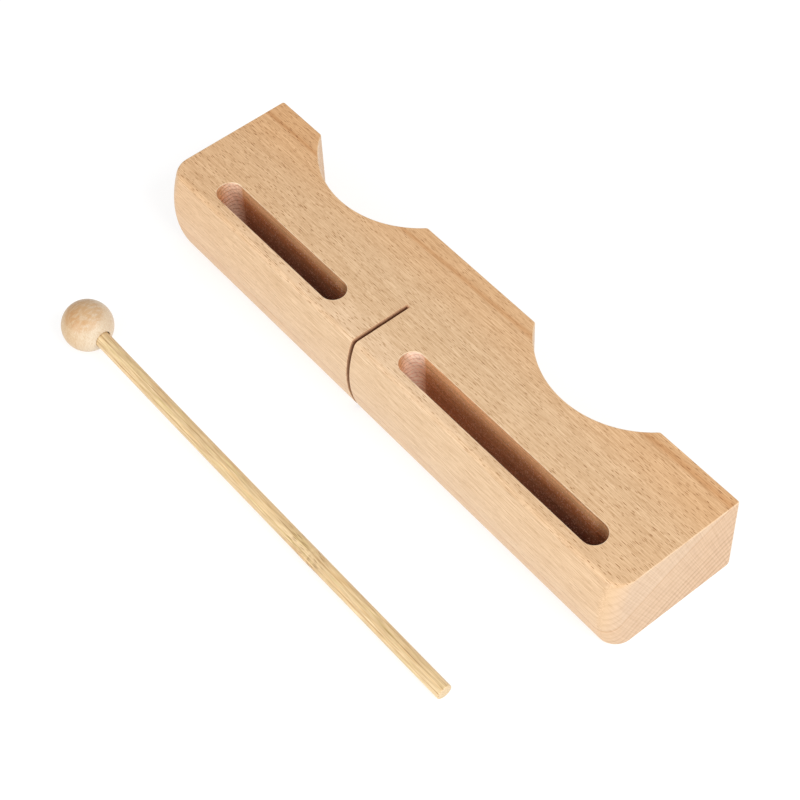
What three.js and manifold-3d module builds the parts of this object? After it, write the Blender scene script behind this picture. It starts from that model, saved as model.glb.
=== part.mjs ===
// A two-tone slit wood block and its mallet, lying side by side on a flat surface.
// Millimetres, +Z up. The origin is the middle of the block's underside. +X runs along the block, from the
// high tone (short slot) to the low tone (long slot), and +Y points to the back edge with the finger grips.
import * as THREE from 'three';
import { mergeVertices } from 'three/addons/utils/BufferGeometryUtils.js';
import Module from 'manifold-3d';

// Block: overall sizes
const blockLength = 300;
const blockWidth = 70; // from the back edge to the crest of the crowned side
const blockThickness = 45;

// Block: edges and corners
const crownRise = 4.6; // how far the crest stands out past the crowned side's two long edges
const crownedCornerRadius = 8; // upright corners of the crowned side
const backCornerRadius = 1; // upright corners of the back edge
const crownedEdgeRadius = 3; // the two long edges beside the crown
const backEdgeRadius = 0.5;
const backUnderEdgeRadius = 2;
const endEdgeRadius = 0.5;

// Finger grips: round scallops in the back edge
const scallopRadius = 48.4;
const scallopDepth = 18.9;
const scallopCornerRadius = 1.8;
const scallopEdgeRadius = 0.5;
const leftFootLength = 28.8; // foot at the high tone's end
const rightFootLength = 45.7; // foot at the low tone's end

// Slots: both run along the crowned side, open on the upper face and closed below
const slotWidth = 12.2;
const slotFloor = 9; // wood left below the slots
const slotRimEasing = 0.35;
const slotWall = 10.1; // wood between the crest of the crowned side and the slots
const highSlotLength = 88;
const highSlotInset = 24.2; // from the high tone's end of the block to its slot
const lowSlotInset = 21.2; // from the low tone's end of the block to its slot
const slotBridge = 42.1; // solid wood between the two slots

// Saw kerf between the slots, from the crest inwards and right through the thickness
const kerfWidth = 2;
const kerfDepth = 34.7;
const kerfOffset = 1.7; // from the middle of the bridge between the slots, towards the low tone

// Mallet
const ballDiameter = 24;
const boreFloor = 6.7; // wood left between the bore's floor and the far side of the ball
const boreChamfer = 0.3;
const boreOffset = 0.65; // from the middle of the ball to the bore's axis, towards the block
const handleDiameter = 7.4;
const handleLength = 250;
const handleChamfer = 0.6;
const handleClearance = 0.3; // between the handle and the walls and floor of its bore
const ballInset = 26.6; // from the high tone's end of the block to the middle of the ball
const malletStandoff = 65.2; // from the crest of the crowned side to the middle of the ball
const malletTurn = 0.95; // degrees by which the mallet is turned out of line with the block

// Smoothness
const overrun = 2; // how far a cut runs past the surface that it opens
const weldDistance = 1e-4;
const edgeSteps = 4;
const cornerSteps = 8;
const crownSteps = 12;
const scallopSteps = 28;
const slotEndSteps = 12;
const ballSteps = 24;
const ballSides = 48;
const handleSides = 32;

const wasm = await Module();
wasm.setup();

// Places that follow from the sizes
const halfLength = blockLength / 2;
const crestY = -blockWidth / 2;
const backY = blockWidth / 2;
const middleZ = blockThickness / 2;
const crownRadius = (middleZ ** 2 + crownRise ** 2) / (2 * crownRise);
const slotY = crestY + slotWall + slotWidth / 2;
const highSlotStart = -halfLength + highSlotInset;
const highSlotEnd = highSlotStart + highSlotLength;
const lowSlotEnd = halfLength - lowSlotInset;
const lowSlotStart = highSlotEnd + slotBridge;
const kerfX = highSlotEnd + slotBridge / 2 + kerfOffset;

// How far an edge rounded with this radius draws a side in, this far below or above the flat face
function easedInset(radius, distance) {
  if (distance >= radius) return 0;
  return radius - Math.sqrt(radius ** 2 - (radius - distance) ** 2);
}

// The crowned side's place at a height: the crown's arc, with a rounded edge above and below it
function crownedSideY(z) {
  const fromFace = Math.min(z, blockThickness - z);
  const crownCentreY = crestY + crownRadius;
  const edgeCentreZ = middleZ - crownedEdgeRadius;
  const edgeCentreOffset = Math.sqrt((crownRadius - crownedEdgeRadius) ** 2 - edgeCentreZ ** 2);
  const tangentHeight = (edgeCentreZ * crownRadius) / (crownRadius - crownedEdgeRadius);
  const fromMiddle = middleZ - fromFace;
  if (fromMiddle <= tangentHeight) {
    return crownCentreY - Math.sqrt(crownRadius ** 2 - fromMiddle ** 2);
  }
  const climb = fromMiddle - edgeCentreZ;
  return crownCentreY - edgeCentreOffset - Math.sqrt(Math.max(0, crownedEdgeRadius ** 2 - climb ** 2));
}

// Points of an arc, ends included
function arc(centreX, centreY, radius, fromAngle, toAngle, steps) {
  const points = [];
  for (let i = 0; i <= steps; i += 1) {
    const angle = fromAngle + ((toAngle - fromAngle) * i) / steps;
    points.push([centreX + radius * Math.cos(angle), centreY + radius * Math.sin(angle)]);
  }
  return points;
}

// One finger grip as seen from above, from its right corner to its left one
function scallopOutline(middleX, backLine, edgeInset) {
  const centreY = backY - scallopDepth + scallopRadius;
  const radius = scallopRadius + edgeInset;
  const cornerY = backLine - scallopCornerRadius;
  const reach = Math.sqrt((radius + scallopCornerRadius) ** 2 - (centreY - cornerY) ** 2);
  const lean = Math.atan2(centreY - cornerY, reach);
  return [
    ...arc(middleX + reach, cornerY, scallopCornerRadius, Math.PI / 2, Math.PI - lean, edgeSteps),
    ...arc(middleX, centreY, radius, -lean, lean - Math.PI, scallopSteps).slice(1, -1),
    ...arc(middleX - reach, cornerY, scallopCornerRadius, lean, Math.PI / 2, edgeSteps),
  ];
}

// The block's outline at a height, anticlockwise as seen from above
function blockOutline(z) {
  const fromTop = blockThickness - z;
  const fromFace = Math.min(z, fromTop);
  const endX = halfLength - easedInset(endEdgeRadius, fromFace);
  const backInset = Math.max(easedInset(backUnderEdgeRadius, z), easedInset(backEdgeRadius, fromTop));
  const backLine = backY - backInset;
  const scallopInset = easedInset(scallopEdgeRadius, fromFace);
  const frontY = crownedSideY(z);
  const frontX = endX - crownedCornerRadius;
  const backX = endX - backCornerRadius;
  const frontCornerY = frontY + crownedCornerRadius;
  const backCornerY = backLine - backCornerRadius;
  const mouth = Math.sqrt(scallopRadius ** 2 - (scallopRadius - scallopDepth) ** 2);
  const leftScallopX = -halfLength + leftFootLength + mouth;
  const rightScallopX = halfLength - rightFootLength - mouth;
  return [
    ...arc(-frontX, frontCornerY, crownedCornerRadius, Math.PI, 1.5 * Math.PI, cornerSteps),
    ...arc(frontX, frontCornerY, crownedCornerRadius, 1.5 * Math.PI, 2 * Math.PI, cornerSteps),
    ...arc(backX, backCornerY, backCornerRadius, 0, Math.PI / 2, edgeSteps),
    ...scallopOutline(rightScallopX, backLine, scallopInset),
    ...scallopOutline(leftScallopX, backLine, scallopInset),
    ...arc(-backX, backCornerY, backCornerRadius, Math.PI / 2, Math.PI, edgeSteps),
  ];
}

// A slot's outline as seen from above, anticlockwise, grown by an easing
function slotOutline(fromX, toX, grown) {
  const radius = slotWidth / 2;
  return [
    ...arc(toX - radius, slotY, radius + grown, -Math.PI / 2, Math.PI / 2, slotEndSteps),
    ...arc(fromX + radius, slotY, radius + grown, Math.PI / 2, 1.5 * Math.PI, slotEndSteps),
  ];
}

// Heights of the block's outlines: close together in the rounded edges, wider apart on the crown
function blockHeights() {
  const heights = [];
  [endEdgeRadius, backEdgeRadius, scallopEdgeRadius, crownedEdgeRadius, backUnderEdgeRadius].forEach((radius) => {
    for (let i = 0; i <= edgeSteps; i += 1) {
      heights.push(radius * (1 - Math.cos((i * Math.PI) / (2 * edgeSteps))));
    }
  });
  const under = [...new Set(heights)].sort((a, b) => a - b);
  const least = endEdgeRadius / (2 * edgeSteps);
  const spaced = under.filter((height, i) => i === 0 || height - under[i - 1] > least);
  const crownStart = crownedEdgeRadius;
  const crownHeight = blockThickness - 2 * crownStart;
  const crown = [];
  for (let i = 1; i < crownSteps; i += 1) {
    crown.push(crownStart + (crownHeight * i) / crownSteps);
  }
  return [...spaced, ...crown, ...spaced.map((height) => blockThickness - height).reverse()];
}

// A closed solid through outlines of equally many points, each at its own height
function loft(layers) {
  const count = layers[0].outline.length;
  const positions = [];
  const faces = [];
  layers.forEach(({ outline, z }) => outline.forEach(([x, y]) => positions.push(x, y, z)));
  for (let level = 0; level + 1 < layers.length; level += 1) {
    for (let i = 0; i < count; i += 1) {
      const a = level * count + i;
      const b = level * count + ((i + 1) % count);
      faces.push(a, b, b + count, a, b + count, a + count);
    }
  }
  const flat = (layer) => layer.outline.map(([x, y]) => new THREE.Vector2(x, y));
  THREE.ShapeUtils.triangulateShape(flat(layers[0]), []).forEach(([a, b, c]) => faces.push(c, b, a));
  const top = (layers.length - 1) * count;
  THREE.ShapeUtils.triangulateShape(flat(layers[layers.length - 1]), []).forEach(([a, b, c]) => {
    faces.push(top + a, top + b, top + c);
  });
  const geometry = new THREE.BufferGeometry();
  geometry.setAttribute('position', new THREE.Float32BufferAttribute(positions, 3));
  geometry.setIndex(faces);
  return geometry;
}

// A three.js geometry as a solid that can be cut
function solid(geometry) {
  const bare = geometry.clone();
  bare.deleteAttribute('normal');
  bare.deleteAttribute('uv');
  const merged = mergeVertices(bare, weldDistance);
  return new wasm.Manifold(
    new wasm.Mesh({
      numProp: 3,
      vertProperties: new Float32Array(merged.attributes.position.array),
      triVerts: new Uint32Array(merged.index.array),
    }),
  );
}

// A cut solid as a three.js geometry again
function geometryOf(shape) {
  const mesh = shape.getMesh();
  const geometry = new THREE.BufferGeometry();
  geometry.setAttribute('position', new THREE.Float32BufferAttribute(mesh.vertProperties, mesh.numProp));
  geometry.setIndex(new THREE.Uint32BufferAttribute(mesh.triVerts, 1));
  geometry.computeVertexNormals();
  return geometry;
}

// The wood that a slot takes away, with an eased rim
function slotCut(fromX, toX) {
  const rimZ = blockThickness - slotRimEasing;
  return solid(
    loft([
      { z: slotFloor, outline: slotOutline(fromX, toX, 0) },
      { z: rimZ, outline: slotOutline(fromX, toX, 0) },
      { z: blockThickness, outline: slotOutline(fromX, toX, slotRimEasing) },
      { z: blockThickness + overrun, outline: slotOutline(fromX, toX, slotRimEasing) },
    ]),
  );
}

// The wood that the saw takes away
function kerfCut() {
  const cut = new THREE.BoxGeometry(kerfWidth, kerfDepth + overrun, blockThickness + 2 * overrun);
  cut.translate(kerfX, crestY + (kerfDepth - overrun) / 2, middleZ);
  return solid(cut);
}

// Tone block: one length of beech
function toneBlock() {
  const body = solid(loft(blockHeights().map((z) => ({ z, outline: blockOutline(z) }))));
  const cut = body
    .subtract(slotCut(highSlotStart, highSlotEnd))
    .subtract(slotCut(lowSlotStart, lowSlotEnd))
    .subtract(kerfCut());
  const material = new THREE.MeshStandardMaterial({ color: 0xe3bb8c, roughness: 0.62, metalness: 0 });
  const mesh = new THREE.Mesh(geometryOf(cut), material);
  mesh.name = 'tone_block';
  return mesh;
}

// Mallet: both pieces stand along +Y, with the middle of the ball at the origin
const ballRadius = ballDiameter / 2;
const handleRadius = handleDiameter / 2;
const boreRadius = handleRadius + handleClearance;
const boreFloorY = boreFloor - ballRadius;
const handleStartY = boreFloorY + handleClearance;
const handleEndY = handleStartY + handleLength;

function turned(profile, sides) {
  return solid(new THREE.LatheGeometry(profile.map(([r, y]) => new THREE.Vector2(r, y)), sides));
}

// Mallet head: a ball with a blind bore, drilled a little off its middle
function malletHead() {
  const chamferY = Math.sqrt(ballRadius ** 2 - (boreRadius + boreChamfer) ** 2) - boreChamfer;
  const clearY = ballRadius + overrun;
  const ball = turned(
    [
      [0, -ballRadius],
      ...arc(0, 0, ballRadius, -Math.PI / 2, Math.PI / 2, ballSteps).slice(1, -1),
      [0, ballRadius],
    ],
    ballSides,
  );
  const bore = turned(
    [
      [0, boreFloorY],
      [boreRadius, boreFloorY],
      [boreRadius, chamferY],
      [boreRadius + clearY - chamferY, clearY],
      [0, clearY],
    ],
    ballSides,
  );
  const material = new THREE.MeshStandardMaterial({ color: 0xe6c49b, roughness: 0.55, metalness: 0 });
  const mesh = new THREE.Mesh(geometryOf(ball.subtract(bore.translate(-boreOffset, 0, 0))), material);
  mesh.name = 'mallet_head';
  return mesh;
}

// Mallet handle: a bamboo dowel with its ends eased
function malletHandle() {
  const profile = [
    [0, handleStartY],
    [handleRadius - handleChamfer, handleStartY],
    [handleRadius, handleStartY + handleChamfer],
    [handleRadius, handleEndY - handleChamfer],
    [handleRadius - handleChamfer, handleEndY],
    [0, handleEndY],
  ];
  const material = new THREE.MeshStandardMaterial({ color: 0xdfba77, roughness: 0.5, metalness: 0 });
  const mesh = new THREE.Mesh(geometryOf(turned(profile, handleSides).translate(-boreOffset, 0, 0)), material);
  mesh.name = 'mallet_handle';
  return mesh;
}

// The mallet lies on the surface: the ball touches it, and so does the lower edge of the handle's free end
function mallet() {
  const touchY = handleEndY - handleChamfer;
  const dip = Math.asin(ballRadius / Math.hypot(touchY, handleRadius)) - Math.atan2(handleRadius, touchY);
  const turn = THREE.MathUtils.degToRad(malletTurn);
  const group = new THREE.Group();
  group.rotation.set(-dip, 0, turn - Math.PI / 2, 'ZXY');
  group.position.set(-halfLength + ballInset, crestY - malletStandoff, ballRadius);
  group.add(malletHead(), malletHandle());
  return group;
}

const model = new THREE.Group();
model.add(toneBlock(), mallet());

export default model;
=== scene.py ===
# The looks of a two-tone slit wood block and its mallet: fine meshes, wood and light. Lengths are in metres.
import math
from functools import reduce

import bpy
import numpy as np
from mathutils import Matrix, Vector, geometry, noise


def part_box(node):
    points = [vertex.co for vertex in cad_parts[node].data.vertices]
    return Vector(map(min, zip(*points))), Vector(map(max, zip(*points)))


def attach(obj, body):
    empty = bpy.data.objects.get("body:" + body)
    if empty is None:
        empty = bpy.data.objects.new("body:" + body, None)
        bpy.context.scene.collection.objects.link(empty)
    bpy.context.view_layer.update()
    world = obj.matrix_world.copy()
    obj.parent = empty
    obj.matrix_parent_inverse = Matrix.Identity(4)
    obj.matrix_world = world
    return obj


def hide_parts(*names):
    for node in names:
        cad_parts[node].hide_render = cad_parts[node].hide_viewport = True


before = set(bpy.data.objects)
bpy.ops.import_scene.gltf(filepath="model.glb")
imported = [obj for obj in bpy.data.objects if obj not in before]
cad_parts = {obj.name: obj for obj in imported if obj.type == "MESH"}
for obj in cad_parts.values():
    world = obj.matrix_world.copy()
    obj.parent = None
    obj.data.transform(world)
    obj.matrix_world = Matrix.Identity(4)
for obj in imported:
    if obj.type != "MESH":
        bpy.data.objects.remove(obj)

MM = 0.001
QUARTER = math.pi / 2
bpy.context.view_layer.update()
block_low, block_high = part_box("tone_block")
ball_low, ball_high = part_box("mallet_head")

# Block: overall sizes, from the frame
THICKNESS = block_high.z - block_low.z
HALF_LENGTH = (block_high.x - block_low.x) / 2
CREST_Y = block_low.y
BACK_Y = block_high.y
MIDDLE_Z = THICKNESS / 2

# Block: edges and corners
CROWN_RISE = 0.0046
CROWNED_CORNER_RADIUS = 0.008
BACK_CORNER_RADIUS = 0.001
CROWNED_EDGE_RADIUS = 0.003
BACK_UNDER_EDGE_RADIUS = 0.002
FINE_EDGE_RADIUS = 0.0005

# Finger grips in the back edge
SCALLOP_RADIUS = 0.0484
SCALLOP_DEPTH = 0.0189
SCALLOP_CORNER_RADIUS = 0.0018
LEFT_FOOT_LENGTH = 0.0288
RIGHT_FOOT_LENGTH = 0.0457

# Slots
SLOT_WIDTH = 0.0122
SLOT_FLOOR = 0.009
SLOT_FLOOR_FILLET = 0.0006
SLOT_RIM_EASING = 0.0003
SLOT_RIM_UNEVENNESS = 0.0004  # how much wider the easing gets where the cutter lifted the fibres
SLOT_RIM_PATCH = 3 * MM
SLOT_CHATTER = 0.00004
SLOT_CHATTER_PERIOD = 5 * MM
SLOT_WALL = 0.0101
HIGH_SLOT_LENGTH = 0.088
HIGH_SLOT_INSET = 0.0242
LOW_SLOT_INSET = 0.0212
SLOT_BRIDGE = 0.0421

# Saw kerf
KERF_WIDTH = 0.002
KERF_DEPTH = 0.0347
KERF_OFFSET = 0.0017
KERF_EDGE_EASING = 0.00012
KERF_END_RADIUS = 0.0003
KERF_WAVINESS = 0.00005
KERF_WAVE_PERIOD = 4 * MM

# Mallet
BALL_RADIUS = 0.012
BALL_CENTRE = Vector((ball_low.x + BALL_RADIUS, (ball_low.y + ball_high.y) / 2, block_low.z + BALL_RADIUS))
BORE_CLEARANCE = 0.0002
BORE_SLACK = Vector((-0.0001, 0.0, 0.0001))  # where the glued handle leaves the wider gap
BORE_FLOOR = 0.0067
BORE_EDGE_RADIUS = 0.0003
HANDLE_END_EASING = 0.0004
HANDLE_BOW = 0.0004
HANDLE_UNEVENNESS = 0.00005  # how far the dowel's side is out of round
HANDLE_UNEVEN_LENGTH = 0.12
NODE_SHARE = 0.664  # where the bamboo's node lies, as a share of the handle's length from the ball
NODE_SWELLING = 0.00012
NODE_LENGTH = 0.006
NODE_LOBES = 3
NODE_LOBE_DEPTH = 0.4

# Fineness of the meshes
EDGE_STEPS = 7
CORNER_STEPS = 18
CROWN_STEPS = 28
SCALLOP_STEPS = 72
KERF_WALL_STEPS = 22
SLOT_END_STEPS = 28
SLOT_SIDE_SPACING = 0.0012
SLOT_DEPTH_SPACING = 0.0012
HEIGHT_DIGITS = 7
BALL_STEPS = 72
BALL_SIDES = 112
HANDLE_STEPS = 160
HANDLE_SIDES = 56
CORNER_DIGITS = 6  # corners of the CAD handle that agree this far are one
ON_SURFACE_SHARE = 0.9999

# Camera, fitted to the photograph
CAMERA_AIM = (-0.00548, -0.01473, 0.0)
CAMERA_DISTANCE = 0.89914
CAMERA_AZIMUTH = math.radians(53.345)
CAMERA_ELEVATION = math.radians(52.678)
CAMERA_ROLL = math.radians(3.322)
CAMERA_LENS = 91.206
CAMERA_SENSOR = 36.0

# Studio
FLOOR_SIZE = 20.0
FLOOR_COLOUR = (0.4, 0.4, 0.4, 1)
FLOOR_ROUGHNESS = 0.8
FLOOR_GLOW = 0.67
ROOM_BRIGHTNESS = 0.575
SOFTBOX_SIZE = 1.6
SOFTBOX_DISTANCE = 2.4
RIGHT_SOFTBOX = (97, 38, 37.5)  # azimuth and elevation in degrees, and power in watts
LEFT_SOFTBOX = (8, 25, 29.8)

# How pale each slot's round ends are, partly from end grain that the cutter tore and partly painted light,
# and where on the round end it is palest
PALE_ENDS = (0.6, 1.0)
PALEST_ANGLE = math.radians(125)
PALE_REACH = 0.0036  # how far along the slot's side the pale wood goes
PALE_NARROWNESS = 1.1
PALE_FADE = 1.5
ROUND_END_MARGIN = 0.5 * MM

# Places that follow from the sizes
CROWN_RADIUS = (MIDDLE_Z ** 2 + CROWN_RISE ** 2) / (2 * CROWN_RISE)
SLOT_Y = CREST_Y + SLOT_WALL + SLOT_WIDTH / 2
HIGH_SLOT = (-HALF_LENGTH + HIGH_SLOT_INSET, -HALF_LENGTH + HIGH_SLOT_INSET + HIGH_SLOT_LENGTH)
LOW_SLOT = (HIGH_SLOT[1] + SLOT_BRIDGE, HALF_LENGTH - LOW_SLOT_INSET)
KERF_X = HIGH_SLOT[1] + SLOT_BRIDGE / 2 + KERF_OFFSET
KERF_END_Y = CREST_Y + KERF_DEPTH

# Materials of the block's faces, by their order on the mesh
SANDED, ROUTED, SAWN = range(3)

# What the meshes tell the materials
# sharp edges: where rubbing and the painted highlight go
WEAR_AND_HIGHLIGHT = "edge_wear_and_highlight"
PALE = "pale_end"
RUN = "way_along_slot"
# edges this sharp get the full rubbing and painted highlight, blunter ones less
SHARPEST_WORN_AND_HIGHLIT_RADIUS = 0.001  # an edge this round or sharper is fully worn
BLUNTEST_WORN_AND_HIGHLIT_SHARE = 0.45
SMALLEST_SPACING = 1e-7

# From here on lengths are in millimetres. Sizes of noise run along the fibres, across them and out from the
# pith. A smooth step is (from, to) or (from, to, value before, value after).
METRES_TO_MM = (1000.0,) * 3
NOISE_MIDDLE = (0.5,) * 3
WHITE = (1, 1, 1, 1)
BUMP_DEPTH = 0.00012  # metres
WOOD_BUMP = 0.35
BAMBOO_BUMP = 0.5

# The way from the trunk's pith to the piece's origin, and the fibres' turn from the piece's own X
BLOCK_PITH = (0.0, -132.0, 248.0)
BLOCK_TURN = (0.0, 0.0, math.radians(-0.3))
BALL_PITH = (0.0, 22.0, 9.0)
BALL_TURN = (math.radians(8), math.radians(84), math.radians(5))

# How far a face looks up, for flat-sawn wood, or along the fibres, for end grain
FLAT_SAWN_FACING = (0.3, 0.8)
END_GRAIN_FACING = (0.45, 0.95)
FIBRES_RISE_FACING = (0.25, 0.6)

# Growth rings
RING_SPACING = 3.7
RING_DRIFT = 3.0
RING_DRIFT_SIZES = (9.0,) * 3
TRUNK_TAPER = 0.0051  # how far the rings lie nearer to the pith for each step along the trunk
LATE_WOOD_RISE = (0.35, 0.85)
LATE_WOOD_FALL = (0.9, 1.0, 1.0, 0.0)
RING_STRENGTHS = (0.0, 1.0, 0.45, 1.0)
FADING_RINGS = (292.0, 312.0, 1.0, 0.4)
LATE_WOOD_TONES = (0.0, 1.0, -0.08, -0.42)  # from the faces along the fibres to end grain
DARK_BAND_RADIUS = 311.0
DARK_BAND_EDGE = (0.0, 0.7, 1.0, 0.0)
DARK_BAND_WANDER_SIZES = (60.0, 5.0, 5.0)
DARK_BAND_STRENGTH = 0.7
HEART_RIM = (-0.6, 0.3, 0.7, 0.0)
HEART_FADE = (-5.0, 0.4, 1.0, 0.0)
HEART_STRENGTH = 0.7

# Fibres and rays
FIBRE_WANDER_SIZES = (120.0, 26.0, 26.0)
FIBRE_WANDER = (0.0, 1.0, 1.0)
FIBRE_SIZES = (12.0, 0.32, 0.32)
BEECH_CONTRAST = 1.7
SAPWOOD_CONTRAST = 1.5
FIBRE_RELIEF = 0.5
STREAK_SIZES = (26.0, 0.9, 0.9)
BEECH_ROUGHNESS = (0.2, 0.8, 0.36, 0.48)
CLOUD_SIZES = (130.0, 24.0, 24.0)
CLOUD_CONTRAST = 0.05
RAY_SIZES = (2.4, 0.34, 16.0)
RAY_CONTRAST = 0.75

# Flecks, each in a cell: the cell's two sizes, the greatest half-length and half-width, and a shift
SPINDLE_SCATTER = 0.6
SPINDLE_ROW_SHIFT = 9.0
SPINDLE_LENGTHS = (0.0, 1.0, 0.5, 1.0)
SPINDLE_WIDTHS = (0.0, 1.0, 0.55, 1.0)
SPINDLE_STRENGTHS = (0.0, 1.0, 0.1, 1.0)
SPINDLE_EDGE = (0.5, 1.05, 1.0, 0.0)
STRONG_FLECKS = ((6.5, 0.6), (1.9, 0.14), (3.7, 1.3))
FAINT_FLECKS = ((4.6, 0.42), (1.3, 0.1), (9.1, 6.6))
FAINT_FLECK_STRENGTH = 0.4
FLECKS_BY_FACE = (0.0, 1.0, 0.35, 1.0)
FLECKS_ON_END = (0.0, 1.0, 1.0, 0.15)
FLECKS_TO_END = (0.0, 0.5, 0.8, 1.0)
FLECK_RELIEF = 0.6

# Where the sanded faces are warmer and paler, paler again at edges from rubbing with a painted highlight, and
# chipped
CALM_MIDDLE = 25.0
CALM_REACH = 150
WARMTH_AT_ENDS = 0.45
WARMTH_TO_BACK = (2.0, 24.0, 0.0, 0.55)
WARMTH_ON_END = (0.0, 1.0, 1.0, 0.35)
PALE_STRIP_TO_LEFT = 25.0
PALE_STRIP_ALONG = (50.0, 105.0, 1.0, 0.15)
PALE_STRIP_ACROSS = (-26.0, -10.0, 1.0, 0.0)
RUBBED_AND_HIGHLIT_PATCH_SIZES = (7.0,) * 3
RUBBED_AND_HIGHLIT_SHARES = (0.35, 0.65, 0.2, 0.6)
CHIP_SIZES = (2.2,) * 3
CHIPPED_SHARES = (0.35, 0.65, 0.1, 0.75)
SLOT_RIM_START = (0.0, 0.02)
TORN_AND_HIGHLIT_RIM_SHARES = (0.05, 0.6, 0.0, 0.8)

# Where the ball is warmer and browner
WARM_SIDE = (0.78, -0.62)
WARM_SIDE_SHARES = (-0.3, 0.75)
BLOTCH_SIZES = (3.4, 1.3, 2.4)
BLOTCH_DETAIL = 4.0
BROWN_ON_TOP = (0.1, 0.9)
BROWN_BLOTCHES = (0.3, 0.62, 0.3, 1.0)
BROWN_TO_WARM_SIDE = (-0.7, 0.3, 0.8, 1.0)

# Colours of beech, and tints
BEECH_DARK = (0.50, 0.295, 0.14, 1)
BEECH_LIGHT = (0.86, 0.615, 0.385, 1)
BEECH_END_DARK = (0.48, 0.295, 0.165, 1)
BEECH_END_LIGHT = (0.78, 0.56, 0.37, 1)
END_COLOUR_SHARE = 0.9
BEECH_HEART = (0.965, 0.92, 0.86, 1)
BEECH_WARM = (0.99, 0.87, 0.74, 1)
BEECH_PALE = (1.08, 1.12, 1.20, 1)
# the sides' own paler tone with a painted sheen: less yellow than the top
BEECH_SIDE_TONE_AND_SHEEN = (0.97, 1.005, 1.05, 1)
BEECH_BAND = (0.80, 0.64, 0.47, 1)
BEECH_FLECK = (0.36, 0.18, 0.0, 1)
# paler edges: rubbing with a painted highlight
BEECH_WORN_AND_HIGHLIT = (0.80, 0.61, 0.42, 1)
# rims at the slots' pale ends: fibres that the cutter tore, with a painted highlight
BEECH_TORN_RIM_AND_HIGHLIGHT = (0.95, 0.75, 0.53, 1)
SAPWOOD_DARK = (0.55, 0.40, 0.25, 1)
SAPWOOD_LIGHT = (0.75, 0.70, 0.59, 1)
SAPWOOD_WARM = (0.90, 0.77, 0.61, 1)
SAPWOOD_BROWN = (0.88, 0.68, 0.48, 1)

# The kerf's sawn walls
SAWN_GREY = (0.97, 0.85, 0.79, 1)
SAWN_ROUGHNESS = 0.3
# painted shade: the kerf's walls turn this dark colour with depth below the top and behind the crowned side
KERF_PAINTED_SHADE = (0.42, 0.22, 0.12, 1)
KERF_PAINTED_SHADE_DEPTH = (0.3, 2.6)

# The slots' routed walls: browned by the cutter, lighter in one patch, and darker partway down, deeper down,
# towards each right end and at it, partly from cutter burn and partly as painted shade
GRAIN_SIZES = (0.75,) * 3
ROUTED_STREAK_SIZES = (24.0, 1.1, 1.1)
ROUTED_CONTRAST = 0.9
ROUTED_ROUGHNESS = 0.2
# a lighter patch in the low slot's left half, where the walls are brighter and less darkened
LIGHTER_PATCH_START = (0.0, 8.0)
LIGHTER_PATCH_END = (50.0, 105.0, 1.0, 0.0)
LIGHTER_PATCH_GAIN = 0.08
# cutter burn with painted shade: darker deeper down and further along each slot
BURN_AND_SHADE_BY_HEIGHT = (22.0, 38.0, 1.0, 0.0)
BURN_AND_SHADE_ALONG_SLOT = (0.0, 1.0, 0.75, 1.0)
BURN_AND_SHADE_IN_LIGHTER_PATCH = (0.0, 1.0, 1.0, 0.55)
# a darker, redder band partway down the walls: cutter smoke with painted shade
SMOKE_AND_SHADE_FROM = (28.0, 34.0)
SMOKE_AND_SHADE_TO = (36.5, 40.5, 1.0, 0.0)
# darker, greyer right end of each slot: cutter burn where it dwelt, with painted shade
DWELL_BURN_AND_SHADE_START = (0.9, 0.94)
CUTTER_BROWNED = (0.95, 0.77, 0.64, 1)
# colour of the cutter burn with painted shade deep in the slots
CUTTER_BURN_AND_PAINTED_SHADE = (0.54, 0.42, 0.52, 1)
# colour of the band partway down: cutter smoke with painted shade
CUTTER_SMOKE_AND_PAINTED_SHADE = (0.94, 0.76, 0.64, 1)
# colour of the right ends: cutter burn with painted shade
DWELL_BURN_AND_PAINTED_SHADE = (0.72, 0.67, 0.62, 1)

# Wood dust in the slots
DUST_SCALE = 0.9
DUST_SPECK = (0.12, 0.42, 1.0, 0.0)
DUST_PATCH_SIZES = (10.0, 10.0, 5.0)
DUST_ALONG_SLOT = 0.16
DUST_BY_HEIGHT = (36.5, 41.0, 0.06, -0.4)
DUST_CHANCE = 0.5
DUST_THICKNESS = (0.1, 0.34)
DUST_STRENGTH = 0.9
WOOD_DUST = (0.95, 0.67, 0.53, 1)

# End grain on the slots' round ends, its paleness partly painted light, and the lines that the cutter tore in
# it
# colour of the pale end walls: end grain that the cutter tore, with painted light
TORN_GRAIN_AND_PAINTED_LIGHT = (1.02, 0.785, 0.63)
TORN_RAY_SIZES = (3.0, 0.8, 14.0)
TORN_RAY_CONTRAST = 0.9
TORN_GRAIN_CONTRAST = 0.4
# painted light: the pale end walls get lighter lower down and darker near the rim
PAINTED_LIGHT_BY_HEIGHT = (35.0, 42.5, 0.07, -0.05)
END_BROWNED = (0.90, 0.84, 0.78, 1)
BROWNED_WHERE_PALE = (0.1, 0.7, 1.0, 0.0)
CUTTER_LINE = (0.60, 0.38, 0.25, 1)
CUTTER_STEP = 2.5
CUTTER_LINE_SLOPE = 0.5
CUTTER_LINE_START = (0.95, 1.0, 1.0, 0.0)
CUTTER_LINE_FADE = (0.0, 0.3, 1.0, 0.0)
CUTTER_SWAY_SIZES = (4.0,) * 3
CUTTER_SWAY = 0.9
LINES_ON_END_GRAIN = 0.5
LINED_SHARES = (0.1, 0.5)
LINED_WHERE_PALE = (0.2, 1.0, 1.0, 0.7)

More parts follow.
